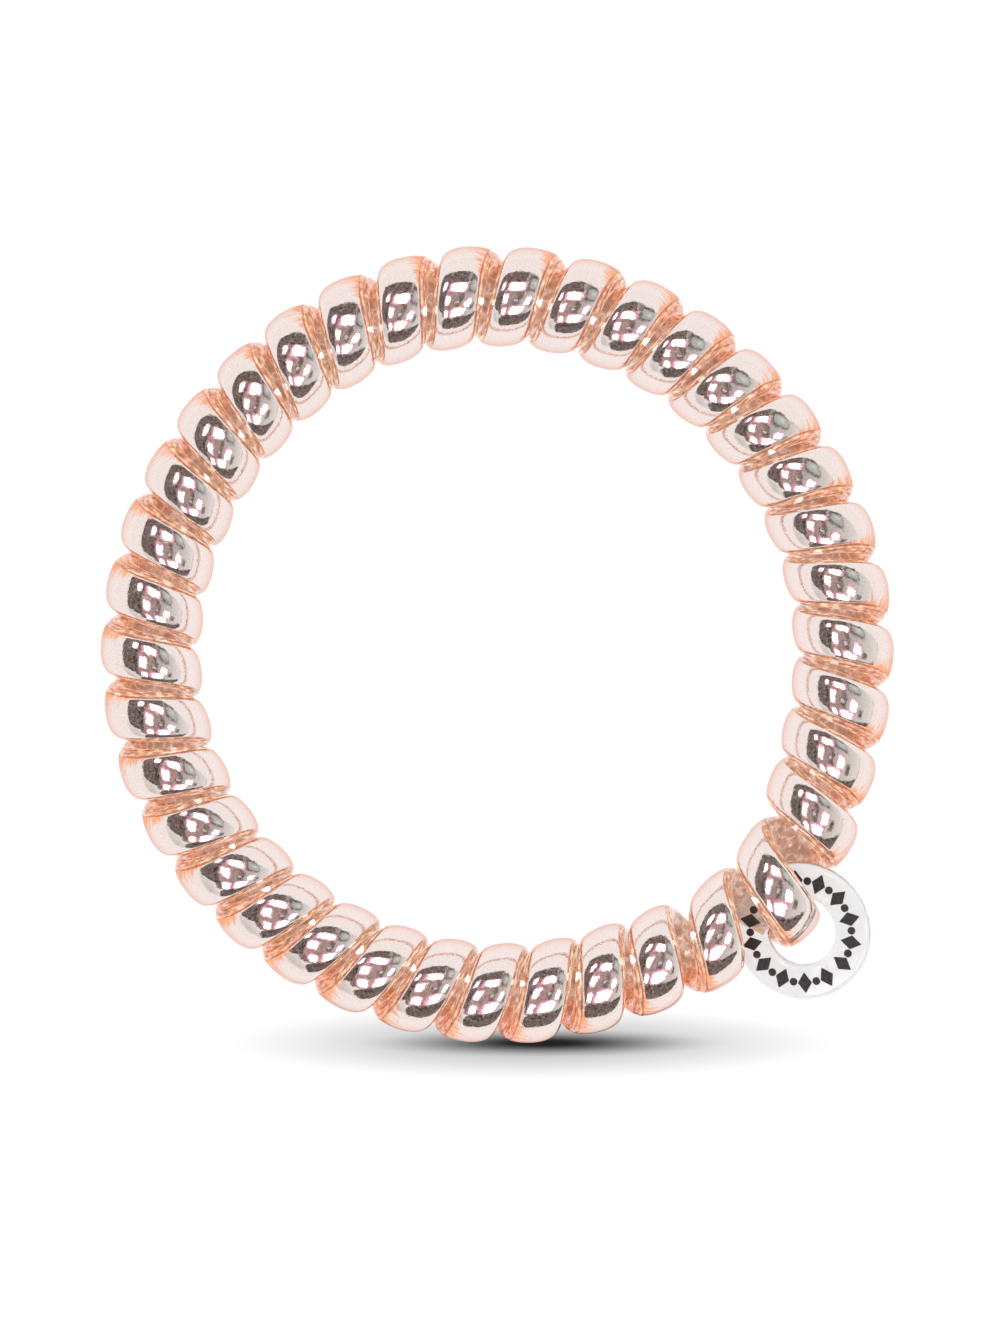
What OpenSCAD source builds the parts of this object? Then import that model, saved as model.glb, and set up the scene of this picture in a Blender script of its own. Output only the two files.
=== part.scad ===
// Spiral hair tie: a closed ring of coiled clear cord with a small washer charm threaded on one turn.
// The ring lies flat: its axis is +Z, its lowest face is z = 0 and the charm is towards +X, -Y.
// An azimuth is measured clockwise from +Y, seen from above, in degrees.

/* [Ring] */
// Outside diameter of the whole ring where nothing pulls it out of round
ring_d = 52; // [44:1:70]
// Smallest gap between neighbouring turns, at the inner side of the ring
turn_gap = 0.08; // [0.06:0.01:0.3]
// Angle by which the turns clockwise of the charm lean further, with their outer sides clockwise
turn_lean = 0.9; // [0.4:0.1:1]
// Angle of the ring from the charm to the turn that leans furthest
lean_reach = 62; // [55:1:90]

/* [Cord] */
// Width of the flat oval cord, along the ring
cord_w = 3.4; // [2.8:0.1:4.2]
// Thickness of the cord, across the wall of the coil
cord_t = 1.75; // [1.4:0.05:2.2]
// Diameter of the hollow core, which is the rod that the cord is wound on
core_d = 3; // [2.6:0.1:4]
// Share of the cord's width that is squeezed away at the inner side of the ring
cord_squeeze = 0.07; // [0.04:0.01:0.12]
// Lean of the cord's flat face, with its anticlockwise edge standing proud
cord_lean = 4; // [0:1:5]
// Fullness of the oval section, where 2 is an ellipse
cord_full = 2.2; // [2:0.1:2.6]

/* [Charm] */
// Thickness of the washer
charm_t = 0.85; // [0.6:0.05:1]
// Radius of the washer's rounded edges
charm_edge_r = 0.3; // [0.1:0.05:0.35]
// Play of the cord in the washer's hole, over the diagonal of the cord's section
hole_play = 0.68; // [0.5:0.02:0.9]
// Play of the washer's band in the hollow core
band_play = 0.75; // [0.6:0.05:1]
// Azimuth of the charm on the ring
charm_azimuth = 133; // [0:1:359]
// Height of the washer's centre over the middle of the coil
charm_rise = 0.55; // [0.4:0.05:0.7]
// Play between the cord's inner face and the hole's inner wall
charm_slack = 1.06; // [0.9:0.02:1.2]
// Slope of the washer
charm_slope = 21; // [18:1:24]
// Direction of the washer's high side, from straight outwards, negative is anticlockwise
charm_high_side = -54; // [-60:1:-45]
// Distance by which the charm bends the ring outwards
ring_pull = 1.1; // [0.8:0.05:1.3]
// Angle of the ring over which that bend fades away, to each side
ring_pull_reach = 28; // [22:1:34]
// Distance by which the charm draws its own turn out of the coil
turn_pull = 0.6; // [0.4:0.05:0.8]
// Share of its pitch that the charm's turn loses where it runs down through the hole
turn_straight = 0.7; // [0.5:0.05:1]
// Depth by which the washer's rim nests between the sloping turns next to it
charm_nest = 0.58; // [0.4:0.02:0.8]
// Share of the room made for the charm that lies before it, anticlockwise
room_before = 0.45; // [0.4:0.01:0.6]

/* [Hidden] */

// Waves that leave the ring a little out of round.
// Columns: number of crests, height as a share of the coil's diameter, azimuth of a crest
SWAY = [
    [2, 0.017, -22],
    [3, 0.020, 4],
    [4, 0.014, -10]
];
// Sections of the cord in each turn, and corners of each section
rings_per_turn = 12;
section_points = 12;
charm_fn = 96;
// Share of a turn to each side of a section that gives the cord's direction there
reach = 0.01;

coil_d = core_d + 2 * cord_t;
coil_r = coil_d / 2;
// Radius of the spiral that the middle of the cord follows round the core
wind_r = (core_d + cord_t) / 2;
// Radius of the core's own circle round the ring's axis
core_ring_r = ring_d / 2 - coil_r;

// The hole passes the cord's section, and the band round it passes through the core
hole_d = norm([cord_w, cord_t]) + hole_play;
charm_band = core_d - band_play;
charm_d = hole_d + 2 * charm_band;

// As many turns as the inner side of the ring takes, less the room that the charm needs
sway_most = coil_d * sum([for (s = SWAY) s[1]]);
inner_r = core_ring_r - wind_r - sway_most;
inner_w = cord_w * (1 - cord_squeeze);
wind_slope = atan(inner_w / (2 * PI * wind_r));
least_pitch = deg((inner_w + turn_gap) / cos(wind_slope), inner_r);
tip_r = core_ring_r + ring_pull + wind_r;
charm_room = deg(charm_d + cord_w - charm_nest, tip_r) - 2 * least_pitch;
turns = floor((360 - charm_room) / least_pitch);
pitch = (360 - charm_room) / turns;

// The inner wall of the washer's hole stands clear of the cord's inner face
charm_r = tip_r + sway(charm_azimuth) + turn_pull - cord_t / 2 - charm_slack + hole_d / 2;

function deg(length, radius) = length / radius * 180 / PI;
function unit(v) = v / norm(v);
function power(value, exponent) = sign(value) * pow(abs(value), exponent);
function around(azimuth, radius, height) = [radius * sin(azimuth), radius * cos(azimuth), height];

// How far the middle of the coil stands out of its circle at an azimuth
function sway(azimuth) = coil_d * sum([for (s = SWAY) s[1] * cos(s[0] * (azimuth - s[2]))]);
function sum(list, i = 0) = i == len(list) ? 0 : list[i] + sum(list, i + 1);
function nearest(value, period) = value - period * round(value / period);

// Falls smoothly from 1 at the middle to 0 at a share of 1, to either side
function fade(share) = pow(cos(90 * min(abs(share), 1)), 2);
function core_r_at(azimuth) =
    core_ring_r + sway(azimuth)
        + ring_pull * fade(nearest(azimuth - charm_azimuth, 360) / ring_pull_reach);

// The charm's turn is turn 0 where it stands furthest out. The charm pushes the turns next to it apart,
// and its own turn runs straighter down through the hole.
function azimuth_at(turn) =
    let (
        n = nearest(turn, turns),
        near = max(-1, min(n, 1)),
        room = charm_room * (n < 0 ? -room_before : 1 - room_before),
        aside = room * (1 - cos(180 * near)) / 2,
        straight = turn_straight * pitch / (2 * PI) * sin(180 * near) * (1 + cos(180 * near)),
        from_charm = pitch * n + aside - straight,
        lean = turn_lean * fade(from_charm / lean_reach - 1) * cos(360 * turn)
    )
    charm_azimuth + from_charm + lean;

// Direction away from the core, and the middle of the cord, at a turn
function away(turn) = around(azimuth_at(turn), cos(360 * turn), -sin(360 * turn));
function middle(turn) =
    let (
        azimuth = azimuth_at(turn),
        drawn = turn_pull * fade(2 * nearest(turn, turns))
    )
    around(azimuth, core_r_at(azimuth) + drawn, coil_r) + wind_r * away(turn);

// One section of the cord, narrower where the turns crowd at the inner side of the ring
function section(turn) =
    let (
        along = unit(middle(turn + reach) - middle(turn - reach)),
        across = unit(cross(away(turn), along)),
        out = cross(along, across),
        w = cord_w * (1 - cord_squeeze * (1 - cos(360 * turn)) / 2)
    )
    [for (k = [0 : section_points - 1])
        let (
            a = 360 * k / section_points,
            x = w / 2 * power(cos(a), 2 / cord_full),
            y = cord_t / 2 * power(sin(a), 2 / cord_full)
        )
        middle(turn)
            + across * (x * cos(cord_lean) - y * sin(cord_lean))
            + out * (x * sin(cord_lean) + y * cos(cord_lean))
    ];

// The coiled cord, joined end to end
module coil() {
    rings = turns * rings_per_turn;
    points = [for (i = [0 : rings - 1]) each section(i / rings_per_turn)];
    faces = [
        for (i = [0 : rings - 1], k = [0 : section_points - 1])
            let (
                j = (i + 1) % rings,
                m = (k + 1) % section_points,
                a = i * section_points + k,
                b = i * section_points + m,
                c = j * section_points + m,
                d = j * section_points + k
            )
            each [[a, c, b], [a, d, c]]
    ];
    color([0.96, 0.68, 0.53, 0.8]) polyhedron(points, faces, convexity = 20);
}

// Half of the washer's section, with rounded edges
module washer_section() {
    inner = hole_d / 2;
    low = -charm_t / 2;
    e = charm_edge_r;
    translate([inner + e, low]) square([charm_band - 2 * e, charm_t]);
    translate([inner, low + e]) square([charm_band, charm_t - 2 * e]);
    for (x = [inner + e, inner + charm_band - e], y = [low + e, -low - e])
        translate([x, y]) circle(e, $fn = charm_fn);
}

// The washer charm on its turn of the cord
module charm_ring() {
    color([0.88, 0.89, 0.9, 0.9])
        translate(around(charm_azimuth, charm_r, coil_r + charm_rise))
        rotate([0, 0, -(charm_azimuth + charm_high_side)])
        rotate([charm_slope, 0, 0])
        rotate_extrude($fn = charm_fn) washer_section();
}

coil();
charm_ring();
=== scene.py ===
import math

import bmesh
import bpy
from mathutils import Matrix, Vector


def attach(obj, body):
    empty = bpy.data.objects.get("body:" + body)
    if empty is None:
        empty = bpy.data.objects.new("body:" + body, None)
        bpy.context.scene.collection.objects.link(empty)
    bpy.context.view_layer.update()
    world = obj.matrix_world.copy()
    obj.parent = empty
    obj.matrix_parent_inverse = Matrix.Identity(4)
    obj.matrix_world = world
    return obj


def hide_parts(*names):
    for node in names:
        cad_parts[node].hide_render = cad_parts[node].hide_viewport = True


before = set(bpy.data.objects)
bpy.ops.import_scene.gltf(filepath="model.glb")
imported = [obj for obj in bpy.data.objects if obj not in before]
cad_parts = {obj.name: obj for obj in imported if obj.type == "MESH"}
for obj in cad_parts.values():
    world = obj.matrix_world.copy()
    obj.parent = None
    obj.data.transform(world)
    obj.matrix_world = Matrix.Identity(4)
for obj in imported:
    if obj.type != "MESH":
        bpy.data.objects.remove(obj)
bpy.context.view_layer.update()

# Camera. The tie lies flat and is seen from straight above, from about three times its own width,
# as the reflections in its turns show. The frame is as high as the photograph's at the mid height
# of the coil, and as far off the ring's centre.
MM = 0.001
LENS = 62
SENSOR = 36
FRAME_H = 87.6 * MM
FRAME_CENTRE = Vector((0.16, -1.31, 3.25)) * MM

camera_data = bpy.data.cameras.new("camera")
camera_data.lens = LENS
camera_data.sensor_width = SENSOR
camera_data.clip_start = 10 * MM
camera_data.clip_end = 10
camera = bpy.data.objects.new("camera", camera_data)
camera.location = FRAME_CENTRE + Vector((0, 0, FRAME_H * LENS / SENSOR))
bpy.context.collection.objects.link(camera)
bpy.context.scene.camera = camera
bpy.context.scene.view_settings.view_transform = "Standard"


# Clear cord. One length of clear, peach-tinted TPU is extruded as a flat oval, wound warm on a rod
# into a left-handed spiral of 37 turns and joined end to end. Turn 0 passes through the charm,
# which pulls it outwards. Lengths are in mm, and an azimuth is in degrees clockwise from +Y.
RING_D = 52
CORD_W = 3.4
CORD_T = 1.75
CORE_D = 3
CORD_SQUEEZE = 0.07
CORD_LEAN = math.radians(4)
CORD_FULL = 2.2
TURN_GAP = 0.08
TURN_LEAN = 0.9
LEAN_REACH = 62
CHARM_AZIMUTH = 133
BAND_PLAY = 0.75
CHARM_BAND = CORE_D - BAND_PLAY
HOLE_PLAY = 0.68
HOLE_D = math.hypot(CORD_W, CORD_T) + HOLE_PLAY
CHARM_D = HOLE_D + 2 * CHARM_BAND
CHARM_NEST = 0.58
ROOM_BEFORE = 0.45
RING_PULL = 1.1
RING_PULL_REACH = 28
TURN_PULL = 0.6
TURN_STRAIGHT = 0.7
# Columns: number of crests, height as a share of the coil's diameter, azimuth of a crest
SWAY = [(2, 0.017, -22), (3, 0.020, 4), (4, 0.014, -10)]
COIL_D = CORE_D + 2 * CORD_T
# Radius of the spiral that the middle of the cord follows round the core, and radius of the core's
# own circle round the ring's axis
WIND_R = (CORE_D + CORD_T) / 2
CORE_RING_R = (RING_D - COIL_D) / 2
# As many turns as the ring's inner side takes, less the room that the charm needs
INNER_W = CORD_W * (1 - CORD_SQUEEZE)
INNER_R = CORE_RING_R - WIND_R - COIL_D * sum(share for _, share, _ in SWAY)
LEAST_PITCH = math.degrees(
    (INNER_W + TURN_GAP) / math.cos(math.atan(INNER_W / (2 * math.pi * WIND_R))) / INNER_R
)
CHARM_ROOM = (
    math.degrees((CHARM_D + CORD_W - CHARM_NEST) / (CORE_RING_R + RING_PULL + WIND_R))
    - 2 * LEAST_PITCH
)
TURNS = math.floor((360 - CHARM_ROOM) / LEAST_PITCH)
PITCH = (360 - CHARM_ROOM) / TURNS
# Share of a turn to each side of a section that gives the cord's direction there
REACH = 0.01
# Sections of the cord in each turn, points of each section, and the turn at which the two ends of
# a wound grid meet, low down at the ring's inner side
RINGS_PER_TURN = 48
SECTION_POINTS = 40
SEAM_TURN = -0.6
SEAM_WELD = 0.0001
# Length of the cord in one turn, and round its section, which its UV map is scaled by
MM_PER_TURN = math.hypot(2 * math.pi * WIND_R, CORE_RING_R * math.radians(PITCH))
MM_ROUND = math.pi * (CORD_W + CORD_T) / 2


def around(azimuth, radius, height):
    """A point at an azimuth round the ring's axis."""
    a = math.radians(azimuth)
    return Vector((radius * math.sin(a), radius * math.cos(a), height))


def nearest(value, period):
    """value less the multiple of period that is nearest to it."""
    return value - period * round(value / period)


def fade(share):
    """Falls smoothly from 1 at the middle to 0 at a share of 1, to either side."""
    return math.cos(math.pi / 2 * min(abs(share), 1)) ** 2


def core_r_at(azimuth):
    """How far the coil's core lies from the ring's axis, a little out of round."""
    sway = sum(
        share * math.cos(math.radians(crests * (azimuth - crest))) for crests, share, crest in SWAY
    )
    pull = RING_PULL * fade(nearest(azimuth - CHARM_AZIMUTH, 360) / RING_PULL_REACH)
    return CORE_RING_R + COIL_D * sway + pull


def azimuth_at(turn):
    """Azimuth of the cord at a turn. The charm's own turn runs straighter down through it, and the
    turns clockwise of it lean further."""
    n = nearest(turn, TURNS)
    near = max(-1, min(n, 1))
    room = CHARM_ROOM * (-ROOM_BEFORE if n < 0 else 1 - ROOM_BEFORE)
    aside = room * (1 - math.cos(math.pi * near)) / 2
    swing = math.sin(math.pi * near) * (1 + math.cos(math.pi * near))
    from_charm = PITCH * n + aside - TURN_STRAIGHT * PITCH / (2 * math.pi) * swing
    lean = TURN_LEAN * fade(from_charm / LEAN_REACH - 1) * math.cos(2 * math.pi * turn)
    return CHARM_AZIMUTH + from_charm + lean


def away(turn):
    """Direction from the core to the cord at a turn."""
    phase = 2 * math.pi * turn
    return around(azimuth_at(turn), math.cos(phase), -math.sin(phase))


def middle(turn):
    """Middle of the cord's section at a turn, in mm."""
    azimuth = azimuth_at(turn)
    drawn = TURN_PULL * fade(2 * nearest(turn, TURNS))
    return around(azimuth, core_r_at(azimuth) + drawn, COIL_D / 2) + WIND_R * away(turn)


def section_place(turn):
    """Matrix that stands a section drawn on X (anticlockwise) and Y (outwards) at a turn."""
    along = (middle(turn + REACH) - middle(turn - REACH)).normalized()
    across = away(turn).cross(along).normalized()
    turned = Matrix((across, along.cross(across), along)).transposed()
    squeeze = 1 - CORD_SQUEEZE * (1 - math.cos(2 * math.pi * turn)) / 2
    return (
        Matrix.Translation(middle(turn))
        @ turned.to_4x4()
        @ Matrix.Rotation(CORD_LEAN, 4, "Z")
        @ Matrix.Diagonal((squeeze, 1, 1, 1))
    )


def section_point(angle, lift=0):
    """A point of the oval section, lifted off it along its normal."""
    c, s = math.cos(angle), math.sin(angle)
    point = Vector((
        CORD_W / 2 * math.copysign(abs(c) ** (2 / CORD_FULL), c),
        CORD_T / 2 * math.copysign(abs(s) ** (2 / CORD_FULL), s),
        0,
    ))
    flat = 2 - 2 / CORD_FULL
    normal = Vector((
        math.copysign(abs(c) ** flat, c) / CORD_W, math.copysign(abs(s) ** flat, s) / CORD_T, 0
    ))
    return point + lift * normal.normalized()


def wound_grid(first, last, segments, lift=0):
    """A grid wound along the whole cord, between two angles of its section. Its UV map holds
    millimetres along and round the cord, and its attribute "outer" is 1 at the ring's outer side
    and -1 at the inner side."""
    bm = bmesh.new()
    bmesh.ops.create_grid(bm, x_segments=TURNS * RINGS_PER_TURN, y_segments=segments, size=0.5)
    uv = bm.loops.layers.uv.new("cord_mm")
    outer = bm.verts.layers.float.new("outer")
    for face in bm.faces:
        for corner in face.loops:
            place = corner.vert.co
            share = (first + (last - first) * (place.y + 0.5)) / (2 * math.pi)
            corner[uv].uv = (TURNS * MM_PER_TURN * (place.x + 0.5), MM_ROUND * share)
    places = {}
    for vert in bm.verts:
        step = round((vert.co.x + 0.5) * TURNS * RINGS_PER_TURN)
        turn = SEAM_TURN + step / RINGS_PER_TURN
        if step not in places:
            places[step] = section_place(turn)
        vert[outer] = math.cos(2 * math.pi * turn)
        angle = first + (last - first) * (vert.co.y + 0.5)
        vert.co = places[step] @ section_point(angle, lift) * MM
    bmesh.ops.remove_doubles(bm, verts=bm.verts, dist=SEAM_WELD * MM)
    return bm


def add_piece(name, bm, material, slot=None, smooth=True):
    """The finished bmesh as an object at the origin. With a slot it is part of the tie."""
    mesh = bpy.data.meshes.new(name)
    bm.to_mesh(mesh)
    bm.free()
    if smooth:
        mesh.shade_smooth()
    mesh.materials.append(material)
    piece = bpy.data.objects.new(name, mesh)
    bpy.context.collection.objects.link(piece)
    if slot:
        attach(piece, "root")
    return piece


def new_material(name):
    """A new material, with its node tree and its Principled shader."""
    material = bpy.data.materials.new(name)
    material.use_nodes = True
    tree = material.node_tree
    return material, tree, tree.nodes["Principled BSDF"]


# Shader group: streaks on the cord's own UV map, drawn out along the cord where Drawn is under 1
# and across it where Drawn is over 1
streaks = bpy.data.node_groups.new("streaks", "ShaderNodeTree")
streaks.interface.new_socket("Vector", in_out="INPUT", socket_type="NodeSocketVector")
streaks.interface.new_socket("Scale", in_out="INPUT", socket_type="NodeSocketFloat")
streaks.interface.new_socket("Drawn", in_out="INPUT", socket_type="NodeSocketFloat")
streaks.interface.new_socket("Value", in_out="OUTPUT", socket_type="NodeSocketFloat")
group_in = streaks.nodes.new("NodeGroupInput")
group_out = streaks.nodes.new("NodeGroupOutput")
drawn_axis = streaks.nodes.new("ShaderNodeCombineXYZ")
drawn_axis.inputs["Y"].default_value = 1
drawn_axis.inputs["Z"].default_value = 1
stretch = streaks.nodes.new("ShaderNodeVectorMath")
stretch.operation = "MULTIPLY"
noise = streaks.nodes.new("ShaderNodeTexNoise")
noise.inputs["Detail"].default_value = 3
streaks.links.new(group_in.outputs["Drawn"], drawn_axis.inputs["X"])
streaks.links.new(group_in.outputs["Vector"], stretch.inputs[0])
streaks.links.new(drawn_axis.outputs["Vector"], stretch.inputs[1])
streaks.links.new(stretch.outputs["Vector"], noise.inputs["Vector"])
streaks.links.new(group_in.outputs["Scale"], noise.inputs["Scale"])
streaks.links.new(noise.outputs["Fac"], group_out.inputs["Value"])


def add_uv(tree):
    """The piece's own UV map, in millimetres along and round the cord."""
    coordinates = tree.nodes.new("ShaderNodeUVMap")
    coordinates.uv_map = "cord_mm"
    return coordinates.outputs["UV"]


def add_object_place(tree):
    """The point's place on the piece, in metres."""
    return tree.nodes.new("ShaderNodeTexCoord").outputs["Object"]


def add_outer(tree):
    """The attribute that is 1 at the ring's outer side and -1 at its inner side."""
    attribute = tree.nodes.new("ShaderNodeAttribute")
    attribute.attribute_name = "outer"
    return attribute.outputs["Fac"]


def add_parts(tree, vector):
    """The sockets "X", "Y" and "Z" of a vector."""
    node = tree.nodes.new("ShaderNodeSeparateXYZ")
    tree.links.new(vector, node.inputs["Vector"])
    return node.outputs


def add_streaks(tree, scale, drawn):
    """The streaks group on the piece's UV map, with its marks per millimetre and its stretch."""
    group = tree.nodes.new("ShaderNodeGroup")
    group.node_tree = streaks
    group.inputs["Scale"].default_value = scale
    group.inputs["Drawn"].default_value = drawn
    tree.links.new(add_uv(tree), group.inputs["Vector"])
    return group.outputs["Value"]


def add_math(tree, operation, *values, clamp=False):
    """A math node on values that are each a socket or a number."""
    node = tree.nodes.new("ShaderNodeMath")
    node.operation = operation
    node.use_clamp = clamp
    for socket, value in zip(node.inputs, values):
        if isinstance(value, (int, float)):
            socket.default_value = value
        else:
            tree.links.new(value, socket)
    return node.outputs["Value"]


def add_range(tree, value, low, high, to_low=0, to_high=1):
    """Maps a value smoothly from one range to another, and holds it at the ends."""
    node = tree.nodes.new("ShaderNodeMapRange")
    node.interpolation_type = "SMOOTHSTEP"
    node.inputs["From Min"].default_value = low
    node.inputs["From Max"].default_value = high
    node.inputs["To Min"].default_value = to_low
    node.inputs["To Max"].default_value = to_high
    tree.links.new(value, node.inputs["Value"])
    return node.outputs["Result"]


def add_ramp(tree, value, *stops):
    """A colour ramp on a value. A stop is a place and a colour."""
    ramp = tree.nodes.new("ShaderNodeValToRGB")
    elements = ramp.color_ramp.elements
    while len(elements) < len(stops):
        elements.new(0.5)
    for element, (position, colour) in zip(elements, stops):
        element.position = position
        element.color = (*colour, 1)
    tree.links.new(value, ramp.inputs["Fac"])
    return ramp.outputs["Color"]


def add_mix(tree, mask, first, second, blend="MIX"):
    """Two colours, each a socket or a colour, mixed by a mask."""
    node = tree.nodes.new("ShaderNodeMix")
    node.data_type = "RGBA"
    node.blend_type = blend
    # Its sockets for the factor and the two colours
    sockets = (node.inputs[0], node.inputs[6], node.inputs[7])
    for socket, value in zip(sockets, (mask, first, second)):
        if isinstance(value, (int, float)):
            socket.default_value = value
        elif isinstance(value, tuple):
            socket.default_value = (*value, 1)
        else:
            tree.links.new(value, socket)
    return node.outputs[2]


def add_bump(tree, *layers):
    """Bump nodes one on another. A layer is a height socket and its relief in millimetres."""
    normal = None
    for height, relief in layers:
        bump = tree.nodes.new("ShaderNodeBump")
        bump.inputs["Strength"].default_value = 1
        bump.inputs["Distance"].default_value = relief * MM
        tree.links.new(height, bump.inputs["Height"])
        if normal:
            tree.links.new(normal, bump.inputs["Normal"])
        normal = bump.outputs["Normal"]
    return normal


# The film covers the section between two of its angles, and the clear flank starts at FILM_LAST
FILM_STEP = 2 * math.pi / SECTION_POINTS
FILM_STEPS = 12
FILM_FIRST = 3 * FILM_STEP
FILM_LAST = FILM_FIRST + FILM_STEPS * FILM_STEP
FILM_EDGE_MM = MM_ROUND * FILM_LAST / (2 * math.pi)

cord_material, tree, shader = new_material("clear_cord")
shader.inputs["Transmission Weight"].default_value = 0.45
shader.inputs["IOR"].default_value = 1.5
shader.inputs["Roughness"].default_value = 0.03
shader.inputs["Coat Weight"].default_value = 0.6
shader.inputs["Coat IOR"].default_value = 1.5
shader.inputs["Coat Roughness"].default_value = 0.02
# The cord is given a weak painted glow in its own colour, for the light that passes through the
# clear plastic
shader.inputs["Emission Strength"].default_value = 0.35
cord_streaks = add_streaks(tree, 4, 0.16)
cord_flecks = add_streaks(tree, 3.4, 0.55)
from_film = add_math(tree, "SUBTRACT", add_parts(tree, add_uv(tree))["Y"], FILM_EDGE_MM)

# Lines of light and shade that the flank's own edges and the film behind it draw along it. A stop
# is a distance from the film's edge in millimetres, and a colour.
LINE_WANDER = 0.3
line_wander = add_math(tree, "MULTIPLY_ADD", cord_streaks, LINE_WANDER, -LINE_WANDER / 2)
flank_lines = add_ramp(
    tree, add_math(tree, "ABSOLUTE", add_math(tree, "ADD", from_film, line_wander)),
    (0.0, (0.34, 0.16, 0.08)),
    (0.07, (0.40, 0.19, 0.10)),
    (0.12, (0.84, 0.51, 0.32)),
    (0.26, (0.70, 0.38, 0.23)),
    (0.36, (0.40, 0.19, 0.10)),
    (0.46, (0.76, 0.45, 0.29)),
    (0.62, (0.38, 0.22, 0.15)),
    (0.80, (0.84, 0.53, 0.36)),
    (1.0, (0.60, 0.34, 0.21)),
)
# Flecks in the flank: dark specks of its own grain, and bright specks brighter than white that are
# painted glints
fleck_and_glint_tone = add_ramp(
    tree, cord_flecks,
    (0.34, (0.35, 0.27, 0.24)),
    (0.46, (0.85, 0.78, 0.74)),
    (0.54, (1, 1, 1)),
    (0.64, (1.9, 2.4, 2.9)),
)
lined_tone = add_mix(tree, 1, flank_lines, fleck_and_glint_tone, "MULTIPLY")

# The cord's inward face, which shows through the wide gap at the charm, is greyer and plainer
INNER_FROM = 1.5
INNER_FULL = 2.2
INNER_SHARE = 0.9
inner_face = add_range(tree, from_film, INNER_FROM, INNER_FULL, 0, INNER_SHARE)
inner_tone = add_ramp(
    tree, add_streaks(tree, 1.5, 0.5),
    (0.36, (0.30, 0.19, 0.14)),
    (0.50, (0.54, 0.37, 0.29)),
    (0.56, (0.80, 0.68, 0.60)),
    (0.62, (0.42, 0.28, 0.21)),
)
cord_tone = add_mix(tree, inner_face, lined_tone, inner_tone)

# It is painted deeper orange at the ring's outer side, where it is seen along its width, and
# deepest there at the ring's lower edge, as painted shade over the painted shadow on the floor
SHADE_FROM_Y = -15 * MM
SHADE_FULL_Y = -24 * MM
cord_outer = add_outer(tree)
cord_place = add_parts(tree, add_object_place(tree))
outer_side = add_range(tree, cord_outer, 0.35, 1.0)
outer_tone = add_mix(tree, 1, cord_tone, (1.18, 0.77, 0.54), "MULTIPLY")
sided_colour = add_mix(tree, outer_side, cord_tone, outer_tone)
painted_shade_mask = add_math(
    tree, "MULTIPLY", add_range(tree, cord_place["Y"], SHADE_FROM_Y, SHADE_FULL_Y), outer_side
)
painted_shade_tone = add_mix(tree, 1, sided_colour, (1.02, 0.74, 0.56), "MULTIPLY")
cord_colour = add_mix(tree, painted_shade_mask, sided_colour, painted_shade_tone)

# Lamplight through each turn's flank is painted as a glowing spot near the top of the coil. Its
# place along the turn wanders, and it is faint at the ring's two sides. The scales narrow it along
# the turn and across it, and the shifts place it.
SPOT_ALONG_SCALE = 12
SPOT_ALONG_SHIFT = -1.4
SPOT_WANDER = 8
SPOT_ACROSS_SCALE = 1.7
SPOT_ACROSS_SHIFT = -1.2
SPOT_EDGE = 1.5
SPOT_CORE = 0.9
SPOT_FULL_X = 14 * MM
SPOT_FAINT_X = 22 * MM
SPOT_FAINT = 0.22
SPOT_COLOUR = (4, 4, 4)
spot_wander = add_math(
    tree, "MULTIPLY_ADD", add_streaks(tree, 0.3, 1), SPOT_WANDER, SPOT_ALONG_SHIFT
)
spot_along = add_math(tree, "MULTIPLY_ADD", cord_outer, SPOT_ALONG_SCALE, spot_wander)
spot_across = add_math(
    tree, "MULTIPLY_ADD", from_film, SPOT_ACROSS_SCALE, SPOT_ACROSS_SHIFT
)
spot_reach = add_math(
    tree, "ADD",
    add_math(tree, "POWER", add_math(tree, "ABSOLUTE", spot_along), 2),
    add_math(tree, "POWER", add_math(tree, "ABSOLUTE", spot_across), 2),
)
side_reach = add_math(tree, "ABSOLUTE", cord_place["X"])
spot = add_math(
    tree, "MULTIPLY",
    add_range(tree, spot_reach, SPOT_EDGE, SPOT_CORE),
    add_range(tree, side_reach, SPOT_FULL_X, SPOT_FAINT_X, 1.0, SPOT_FAINT),
)
tree.links.new(add_mix(tree, 0.15, cord_colour, (1.0, 0.80, 0.66)), shader.inputs["Base Color"])
# The weak painted glow takes the cord's colour, with the painted lamp spots in it
tree.links.new(add_mix(tree, spot, cord_colour, SPOT_COLOUR), shader.inputs["Emission Color"])
tree.links.new(
    add_bump(tree, (cord_streaks, 0.012), (cord_flecks, 0.012)), shader.inputs["Normal"]
)

bm = wound_grid(0, 2 * math.pi, SECTION_POINTS)
bmesh.ops.recalc_face_normals(bm, faces=bm.faces)
cord = add_piece("clear_cord", bm, cord_material, "clear_cord")
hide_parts("coil")


# Metal film. A mirror-bright rose film is laminated on the cord's outward face before winding. It
# covers the middle of that face, and its clockwise edge ends in brushed peach streaks at the
# ring's outside. It is finely dappled, as a stretched film is.
FILM_COLOUR = (0.87, 0.765, 0.735)
FILM_SHADE = (0.83, 0.73, 0.70)
FILM_EDGE_COLOUR = (0.92, 0.41, 0.21)
# Thickness of the film, and how deep it is sunk in the cord's face
FILM_T = 0.035
FILM_SUNK = 0.012

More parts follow.
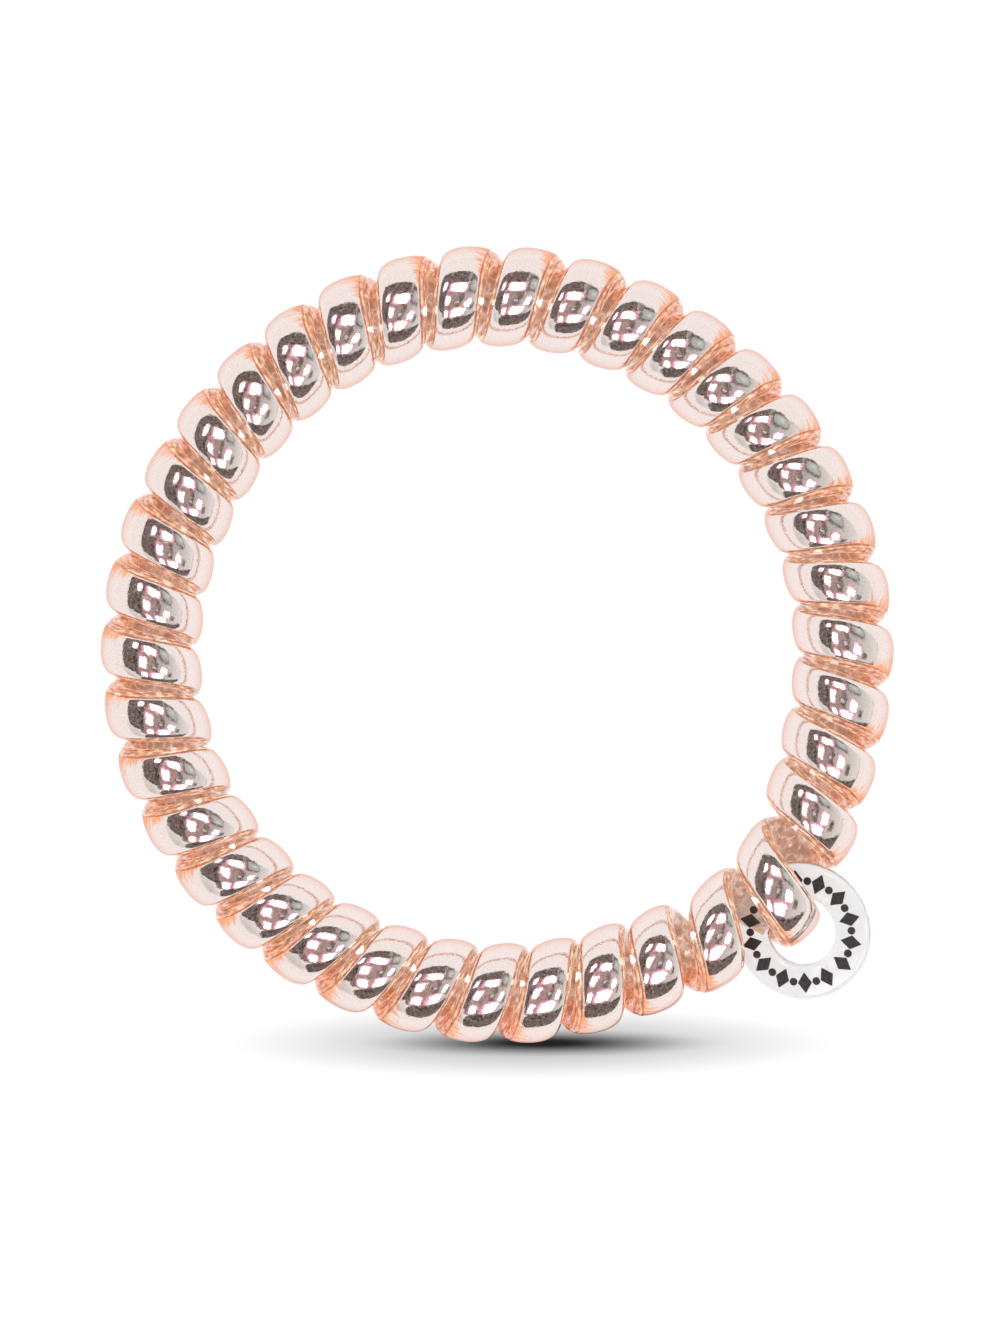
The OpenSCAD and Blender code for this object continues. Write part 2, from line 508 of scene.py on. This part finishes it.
film_material, tree, shader = new_material("metal_film")
shader.inputs["Specular Tint"].default_value = (0.90, 0.64, 0.55, 1)
shader.inputs["Emission Strength"].default_value = 0.09
film_waves = add_streaks(tree, 0.9, 0.8)
film_ripples = add_streaks(tree, 3.6, 1.0)
film_grain = add_streaks(tree, 6, 1.0)
film_specks = add_streaks(tree, 13, 1.0)
tree.links.new(
    add_bump(tree, (film_waves, 0.010), (film_ripples, 0.007), (film_specks, 0.0012)),
    shader.inputs["Normal"],
)
tree.links.new(add_range(tree, film_grain, 0.3, 0.7, 0.02, 0.12), shader.inputs["Roughness"])
tree.links.new(add_range(tree, film_grain, 0.45, 0.7, 1.0, 0.88), shader.inputs["Metallic"])
# Each speck is given a faint painted glow for the light that it scatters, which shows in the
# mirrored dark stand
tree.links.new(
    add_ramp(tree, film_specks, (0.47, (0, 0, 0)), (0.60, (1.0, 0.90, 0.86))),
    shader.inputs["Emission Color"],
)

# The peach streaks reach in from the film's clockwise edge, by EDGE_REACH millimetres at most at
# the ring's outer side and a third of that at its inner side
EDGE_REACH = 1.0
EDGE_RAGGED = 3
EDGE_SHIFT = -0.7
EDGE_SHARP = 1.4
film_tone = add_ramp(tree, film_grain, (0.4, FILM_SHADE), (0.55, FILM_COLOUR))
film_outer = add_outer(tree)
outer_reach = add_range(tree, film_outer, 0.2, 1.0, 0.05, EDGE_REACH)
inner_reach = add_range(tree, film_outer, -0.55, -1.0, 0.0, 0.35 * EDGE_REACH)
from_edge = add_math(tree, "SUBTRACT", FILM_EDGE_MM, add_parts(tree, add_uv(tree))["Y"])
inwards = add_math(tree, "DIVIDE", from_edge, add_math(tree, "ADD", outer_reach, inner_reach))
strokes = add_streaks(tree, 1.2, 4.5)
stroke_ends = add_math(tree, "MULTIPLY_ADD", strokes, EDGE_RAGGED, EDGE_SHIFT)
brushed = add_math(
    tree, "MULTIPLY", add_math(tree, "SUBTRACT", stroke_ends, inwards), EDGE_SHARP, clamp=True
)
tree.links.new(add_mix(tree, brushed, film_tone, FILM_EDGE_COLOUR), shader.inputs["Base Color"])

bm = wound_grid(FILM_FIRST, FILM_LAST, FILM_STEPS, FILM_T - FILM_SUNK)
bmesh.ops.recalc_face_normals(bm, faces=bm.faces)
bmesh.ops.solidify(bm, geom=bm.faces, thickness=FILM_T * MM)
add_piece("metal_film", bm, film_material, "metal_film")


# Charm. A small flat washer moulded in milky clear plastic, with rounded edges, is threaded on one
# turn before the cord is joined. It leans on that turn and lies between its two neighbours.
CHARM_T = 0.85
CHARM_EDGE_R = 0.3
CHARM_RISE = 0.55
CHARM_SLACK = 1.06
CHARM_SLOPE = 21
CHARM_HIGH_SIDE = -54
CHARM_STEPS = 128
CHARM_EDGE_STEPS = 6
# Radius of the middle of the washer's band
BAND_R = (HOLE_D + CHARM_BAND) / 2
CHARM_R = (
    core_r_at(CHARM_AZIMUTH) + WIND_R + TURN_PULL - CORD_T / 2 - CHARM_SLACK + HOLE_D / 2
)
charm_place = (
    Matrix.Scale(MM, 4)
    @ Matrix.Translation(around(CHARM_AZIMUTH, CHARM_R, COIL_D / 2 + CHARM_RISE))
    @ Matrix.Rotation(math.radians(-CHARM_AZIMUTH - CHARM_HIGH_SIDE), 4, "Z")
    @ Matrix.Rotation(math.radians(CHARM_SLOPE), 4, "X")
)


def add_noise(tree, per_metre, detail=2):
    """Soft noise on Object coordinates, with its marks per metre."""
    cloud = tree.nodes.new("ShaderNodeTexNoise")
    cloud.inputs["Scale"].default_value = per_metre
    cloud.inputs["Detail"].default_value = detail
    tree.links.new(add_object_place(tree), cloud.inputs["Vector"])
    return cloud.outputs["Fac"]


charm_material, tree, shader = new_material("milky_plastic")
shader.inputs["Transmission Weight"].default_value = 0.8
shader.inputs["IOR"].default_value = 1.49
shader.inputs["Roughness"].default_value = 0.08
milk = add_noise(tree, 0.5 / MM)
tree.links.new(
    add_ramp(tree, milk, (0.35, (0.93, 0.95, 0.955)), (0.65, (0.97, 0.98, 0.985))),
    shader.inputs["Base Color"],
)
tree.links.new(add_bump(tree, (add_noise(tree, 1.2 / MM), 0.01)), shader.inputs["Normal"])

bm = bmesh.new()
bmesh.ops.create_grid(bm, x_segments=1, y_segments=1, size=0.5)
bmesh.ops.scale(bm, vec=(CHARM_BAND, CHARM_T, 1), verts=bm.verts)
bmesh.ops.bevel(
    bm, geom=bm.verts, offset=CHARM_EDGE_R, segments=CHARM_EDGE_STEPS, profile=0.5,
    affect="VERTICES", material=-1,
)
bmesh.ops.delete(bm, geom=bm.faces, context="FACES_ONLY")
bmesh.ops.rotate(bm, cent=(0, 0, 0), matrix=Matrix.Rotation(math.pi / 2, 3, "X"), verts=bm.verts)
bmesh.ops.translate(bm, vec=(BAND_R, 0, 0), verts=bm.verts)
bmesh.ops.spin(
    bm, geom=bm.verts[:] + bm.edges[:], cent=(0, 0, 0), axis=(0, 0, 1), angle=2 * math.pi,
    steps=CHARM_STEPS, use_merge=True,
)
bmesh.ops.transform(bm, matrix=charm_place, verts=bm.verts)
bmesh.ops.recalc_face_normals(bm, faces=bm.faces)
charm = add_piece("charm_washer", bm, charm_material, "charm_plastic")
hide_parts("charm_ring")


# Charm marks. A plain border of lozenges and dots is pad-printed in near-black ink on the washer's
# upper face, in two runs. A mark's half size is along the border and across it, and the step from
# mark to mark and the start of each run are in degrees.
MARK_T = 0.02
LOZENGE = (0.47, 0.70)
LOZENGE_CORNERS = 4
DOT = (0.26, 0.26)
DOT_CORNERS = 24
MARK_STEP = 13
MARKS_PER_RUN = 13
RUN_STARTS = (-46, 134)

ink_material, tree, shader = new_material("charm_ink")
shader.inputs["Roughness"].default_value = 0.45
ink_mottle = add_noise(tree, 6 / MM)
tree.links.new(
    add_ramp(tree, ink_mottle, (0.4, (0.012, 0.011, 0.012)), (0.7, (0.04, 0.037, 0.038))),
    shader.inputs["Base Color"],
)

bm = bmesh.new()
for start in RUN_STARTS:
    for i in range(MARKS_PER_RUN):
        half_size, corners = (DOT, DOT_CORNERS) if i % 2 else (LOZENGE, LOZENGE_CORNERS)
        place = (
            Matrix.Rotation(math.radians(start + MARK_STEP * i), 4, "Z")
            @ Matrix.Translation((0, BAND_R, CHARM_T / 2 + MARK_T))
            @ Matrix.Diagonal((*half_size, 1, 1))
        )
        bmesh.ops.create_circle(bm, cap_ends=True, segments=corners, radius=1, matrix=place)
bmesh.ops.transform(bm, matrix=charm_place, verts=bm.verts)
bmesh.ops.recalc_face_normals(bm, faces=bm.faces)
bmesh.ops.solidify(bm, geom=bm.faces, thickness=MARK_T * MM)
add_piece("charm_marks", bm, ink_material, "charm_print", smooth=False)


# Floor. A plain white sheet, lit from within as a light table is, so that it stays white round the
# tie and shines up through the clear cord. A wide pale painted shadow with a dark middle lies on it
# under the ring's lower edge.
FLOOR_Z = -0.05
FLOOR_HALF_M = 1.5
# The two ovals of painted shadow, in millimetres. Columns: middle x and y, half width, half height,
# share of its reach up to which it is darkest, and the light that is left there
SHADES = [
    (2.3, -26.6, 24, 2.85, 0.2, 0.60),
    (3.0, -26.6, 12.8, 1.05, 0.12, 0.02),
]

floor_material, tree, shader = new_material("floor")
shader.inputs["Roughness"].default_value = 0.6
shader.inputs["Specular IOR Level"].default_value = 0
shader.inputs["Emission Strength"].default_value = 0.95
shade_lights = []
for x, y, half_width, half_height, inner, darkest in SHADES:
    place = tree.nodes.new("ShaderNodeMapping")
    place.vector_type = "TEXTURE"
    place.inputs["Location"].default_value = Vector((x, y, FLOOR_Z)) * MM
    place.inputs["Scale"].default_value = (half_width * MM, half_height * MM, 1)
    tree.links.new(add_object_place(tree), place.inputs["Vector"])
    reach = tree.nodes.new("ShaderNodeVectorMath")
    reach.operation = "LENGTH"
    tree.links.new(place.outputs["Vector"], reach.inputs[0])
    shade_lights.append(add_range(tree, reach.outputs["Value"], inner, 1, darkest, 1))
painted_shadow_sheet = add_math(tree, "MULTIPLY", *shade_lights)
# The painted shadow darkens both the sheet's colour and its glow
tree.links.new(
    add_ramp(tree, painted_shadow_sheet, (0, (0.001, 0.001, 0.001)), (1, (0.10, 0.10, 0.10))),
    shader.inputs["Base Color"],
)
tree.links.new(
    add_ramp(tree, painted_shadow_sheet, (0, (0.005, 0.005, 0.005)), (1, (1, 1, 1))),
    shader.inputs["Emission Color"],
)

bm = bmesh.new()
bmesh.ops.create_grid(bm, x_segments=1, y_segments=1, size=FLOOR_HALF_M)
bmesh.ops.translate(bm, vec=(0, 0, FLOOR_Z * MM), verts=bm.verts)
floor = add_piece("floor", bm, floor_material)


# Studio. In white surroundings a dark camera stand with a ring of small lamps hangs over the tie,
# with a light grey panel beside it. They show as the dark patch, the pink-edged glints and the grey
# side on top of each turn. The whole studio is turned clockwise.
STUDIO_H = 0.15
STUDIO_TURN = math.radians(-12)
# How far each layer of cards hangs below the one before, how square a card's corners are, share of
# its half size up to which it is solid, and marks per metre of its ragged edge and of its mottle
CARD_STEP = 0.001
CARD_FULL = 5
CARD_SOLID = 0.985
RAGGED_PER_M = 55
MOTTLE_PER_M = 50

world = bpy.data.worlds.new("studio")
world.use_nodes = True
world.node_tree.nodes["Background"].inputs["Color"].default_value = (1, 0.99, 0.98, 1)
world.node_tree.nodes["Background"].inputs["Strength"].default_value = 1.0
bpy.context.scene.world = world


def add_card(
    name, x_angles, y_angles, layer, stops, ragged,
    strength=1, solid=CARD_SOLID, wide=False, mottle=0,
):
    """A glowing card with rounded, ragged edges, which only reflections and lit surfaces see. Its
    angles are from straight up over the ring's middle, before the studio is turned. Its colours
    lie on a ramp from its middle to its edge, or from its low x to its high x if it is wide, and
    are mottled. It is solid up to a share of its half size."""
    height = STUDIO_H - CARD_STEP * layer
    x_low, x_high = (height * math.tan(math.radians(a)) for a in x_angles)
    y_low, y_high = (height * math.tan(math.radians(a)) for a in y_angles)
    turned = Matrix.Rotation(STUDIO_TURN, 4, "Z")
    centre = turned @ Vector(((x_low + x_high) / 2, (y_low + y_high) / 2, height))
    half_size = ((x_high - x_low) / 2, (y_high - y_low) / 2, 1)
    material, tree, shader = new_material(name)
    shader.inputs["Base Color"].default_value = (0, 0, 0, 1)
    shader.inputs["Specular IOR Level"].default_value = 0
    shader.inputs["Emission Strength"].default_value = strength
    place = tree.nodes.new("ShaderNodeMapping")
    place.vector_type = "TEXTURE"
    place.inputs["Location"].default_value = centre
    place.inputs["Rotation"].default_value = (0, 0, STUDIO_TURN)
    place.inputs["Scale"].default_value = half_size
    tree.links.new(add_object_place(tree), place.inputs["Vector"])
    parts = add_parts(tree, place.outputs["Vector"])
    powers = [
        add_math(tree, "POWER", add_math(tree, "ABSOLUTE", parts[axis]), CARD_FULL)
        for axis in "XY"
    ]
    rounded = add_math(tree, "POWER", add_math(tree, "ADD", *powers), 1 / CARD_FULL)
    blotches = add_noise(tree, RAGGED_PER_M, detail=4)
    wander = add_math(tree, "MULTIPLY_ADD", blotches, ragged, -ragged / 2)
    share = add_math(tree, "ADD", rounded, wander)
    tree.links.new(add_range(tree, share, 1, solid), shader.inputs["Alpha"])
    if wide:
        from_low = add_math(tree, "ADD", wander, 0.5)
        share = add_math(tree, "MULTIPLY_ADD", parts["X"], 0.5, from_low)
    if mottle:
        specks = add_noise(tree, MOTTLE_PER_M)
        mottled = add_math(tree, "MULTIPLY_ADD", specks, mottle, -mottle / 2)
        share = add_math(tree, "ADD", share, mottled)
    tree.links.new(add_ramp(tree, share, *stops), shader.inputs["Emission Color"])
    bm = bmesh.new()
    bmesh.ops.create_grid(bm, x_segments=1, y_segments=1, size=1)
    bmesh.ops.scale(bm, vec=half_size, verts=bm.verts)
    bmesh.ops.transform(bm, matrix=Matrix.Translation(centre) @ turned, verts=bm.verts)
    card = add_piece(name, bm, material)
    card.visible_camera = False


add_card(
    "grey_panel", (10, 76), (-60, 46), 0,
    ((0, (0.42, 0.42, 0.40)), (0.12, (0.60, 0.61, 0.59)), (0.35, (0.74, 0.75, 0.73)),
     (0.7, (0.88, 0.88, 0.87)), (1, (0.98, 0.97, 0.96))),
    ragged=0.12, wide=True,
)
add_card(
    "panel_seam", (74, 75.2), (-60, 40), 1,
    ((0, (0.44, 0.32, 0.28)), (1, (0.40, 0.28, 0.24))),
    ragged=0,
)
# The stand's lit middle
add_card(
    "stand_middle", (-36, 15), (-50, 40), 1,
    ((0, (0.62, 0.50, 0.46)), (0.25, (0.30, 0.22, 0.20)), (0.45, (0.46, 0.36, 0.33)),
     (0.7, (0.15, 0.11, 0.10)), (1, (0.26, 0.19, 0.17))),
    ragged=0.5, mottle=0.9,
)
add_card(
    "grey_wing", (-66, -26), (-74, -26), 0, ((0, (0.62, 0.62, 0.60)), (1, (0.86, 0.86, 0.85))),
    ragged=0.2, solid=0.6,
)
ARM_DARK = ((0, (0.26, 0.21, 0.19)), (0.3, (0.04, 0.025, 0.02)), (0.6, (0.22, 0.17, 0.15)),
            (1, (0.03, 0.02, 0.018)))
ARM_MOTTLE = 2.5
# The stand's dark arms. Columns: name, angles towards +X, angles towards +Y, raggedness, share of
# its half size up to which it is solid
ARMS = [
    ("stand_left", (-60, -28), (-40, 54), 0.3, CARD_SOLID),
    ("stand_top", (-58, 26), (33, 54), 0.4, CARD_SOLID),
    ("stand_bottom", (-34, 74), (-78, -46), 0.2, CARD_SOLID),
    ("stand_right", (10, 46), (8, 52), 0.5, 0.6),
    ("stand_low_right", (10, 36), (-60, -30), 0.5, 0.6),
    ("stand_clamp", (40, 53), (-34, -8), 0.7, 0.4),
]
for name, x_angles, y_angles, ragged, solid in ARMS:
    add_card(name, x_angles, y_angles, 2, ARM_DARK, ragged, solid=solid, mottle=ARM_MOTTLE)
add_card(
    "green_panel", (18, 46), (18, 43), 3,
    ((0, (0.75, 0.85, 0.80)), (0.45, (0.50, 0.57, 0.54)), (0.8, (0.44, 0.49, 0.47)),
     (1, (0.14, 0.13, 0.12))),
    ragged=0.3,
)
LAMP_GLOW = ((0, (1, 0.98, 0.97)), (0.58, (1, 0.96, 0.95)), (0.70, (0.24, 0.11, 0.15)),
             (1, (0.09, 0.045, 0.055)))
# The small lamps. Columns: angles towards +X, angles towards +Y, strength
LAMPS = [
    ((-23, 16), (11, 33), 5),
    ((-42, -29), (12, 35), 4),
    ((-26, -9), (-20, 8), 5),
    ((0, 12), (-12, -3), 0.7),
    ((20, 40), (-24, 4), 5),
    ((-24, -4), (-48, -24), 4),
    ((-4, 36), (-46, -18), 5),
]
for i, (x_angles, y_angles, strength) in enumerate(LAMPS):
    add_card(f"lamp_{i}", x_angles, y_angles, 5, LAMP_GLOW, 0.7, strength=strength, solid=0.9)
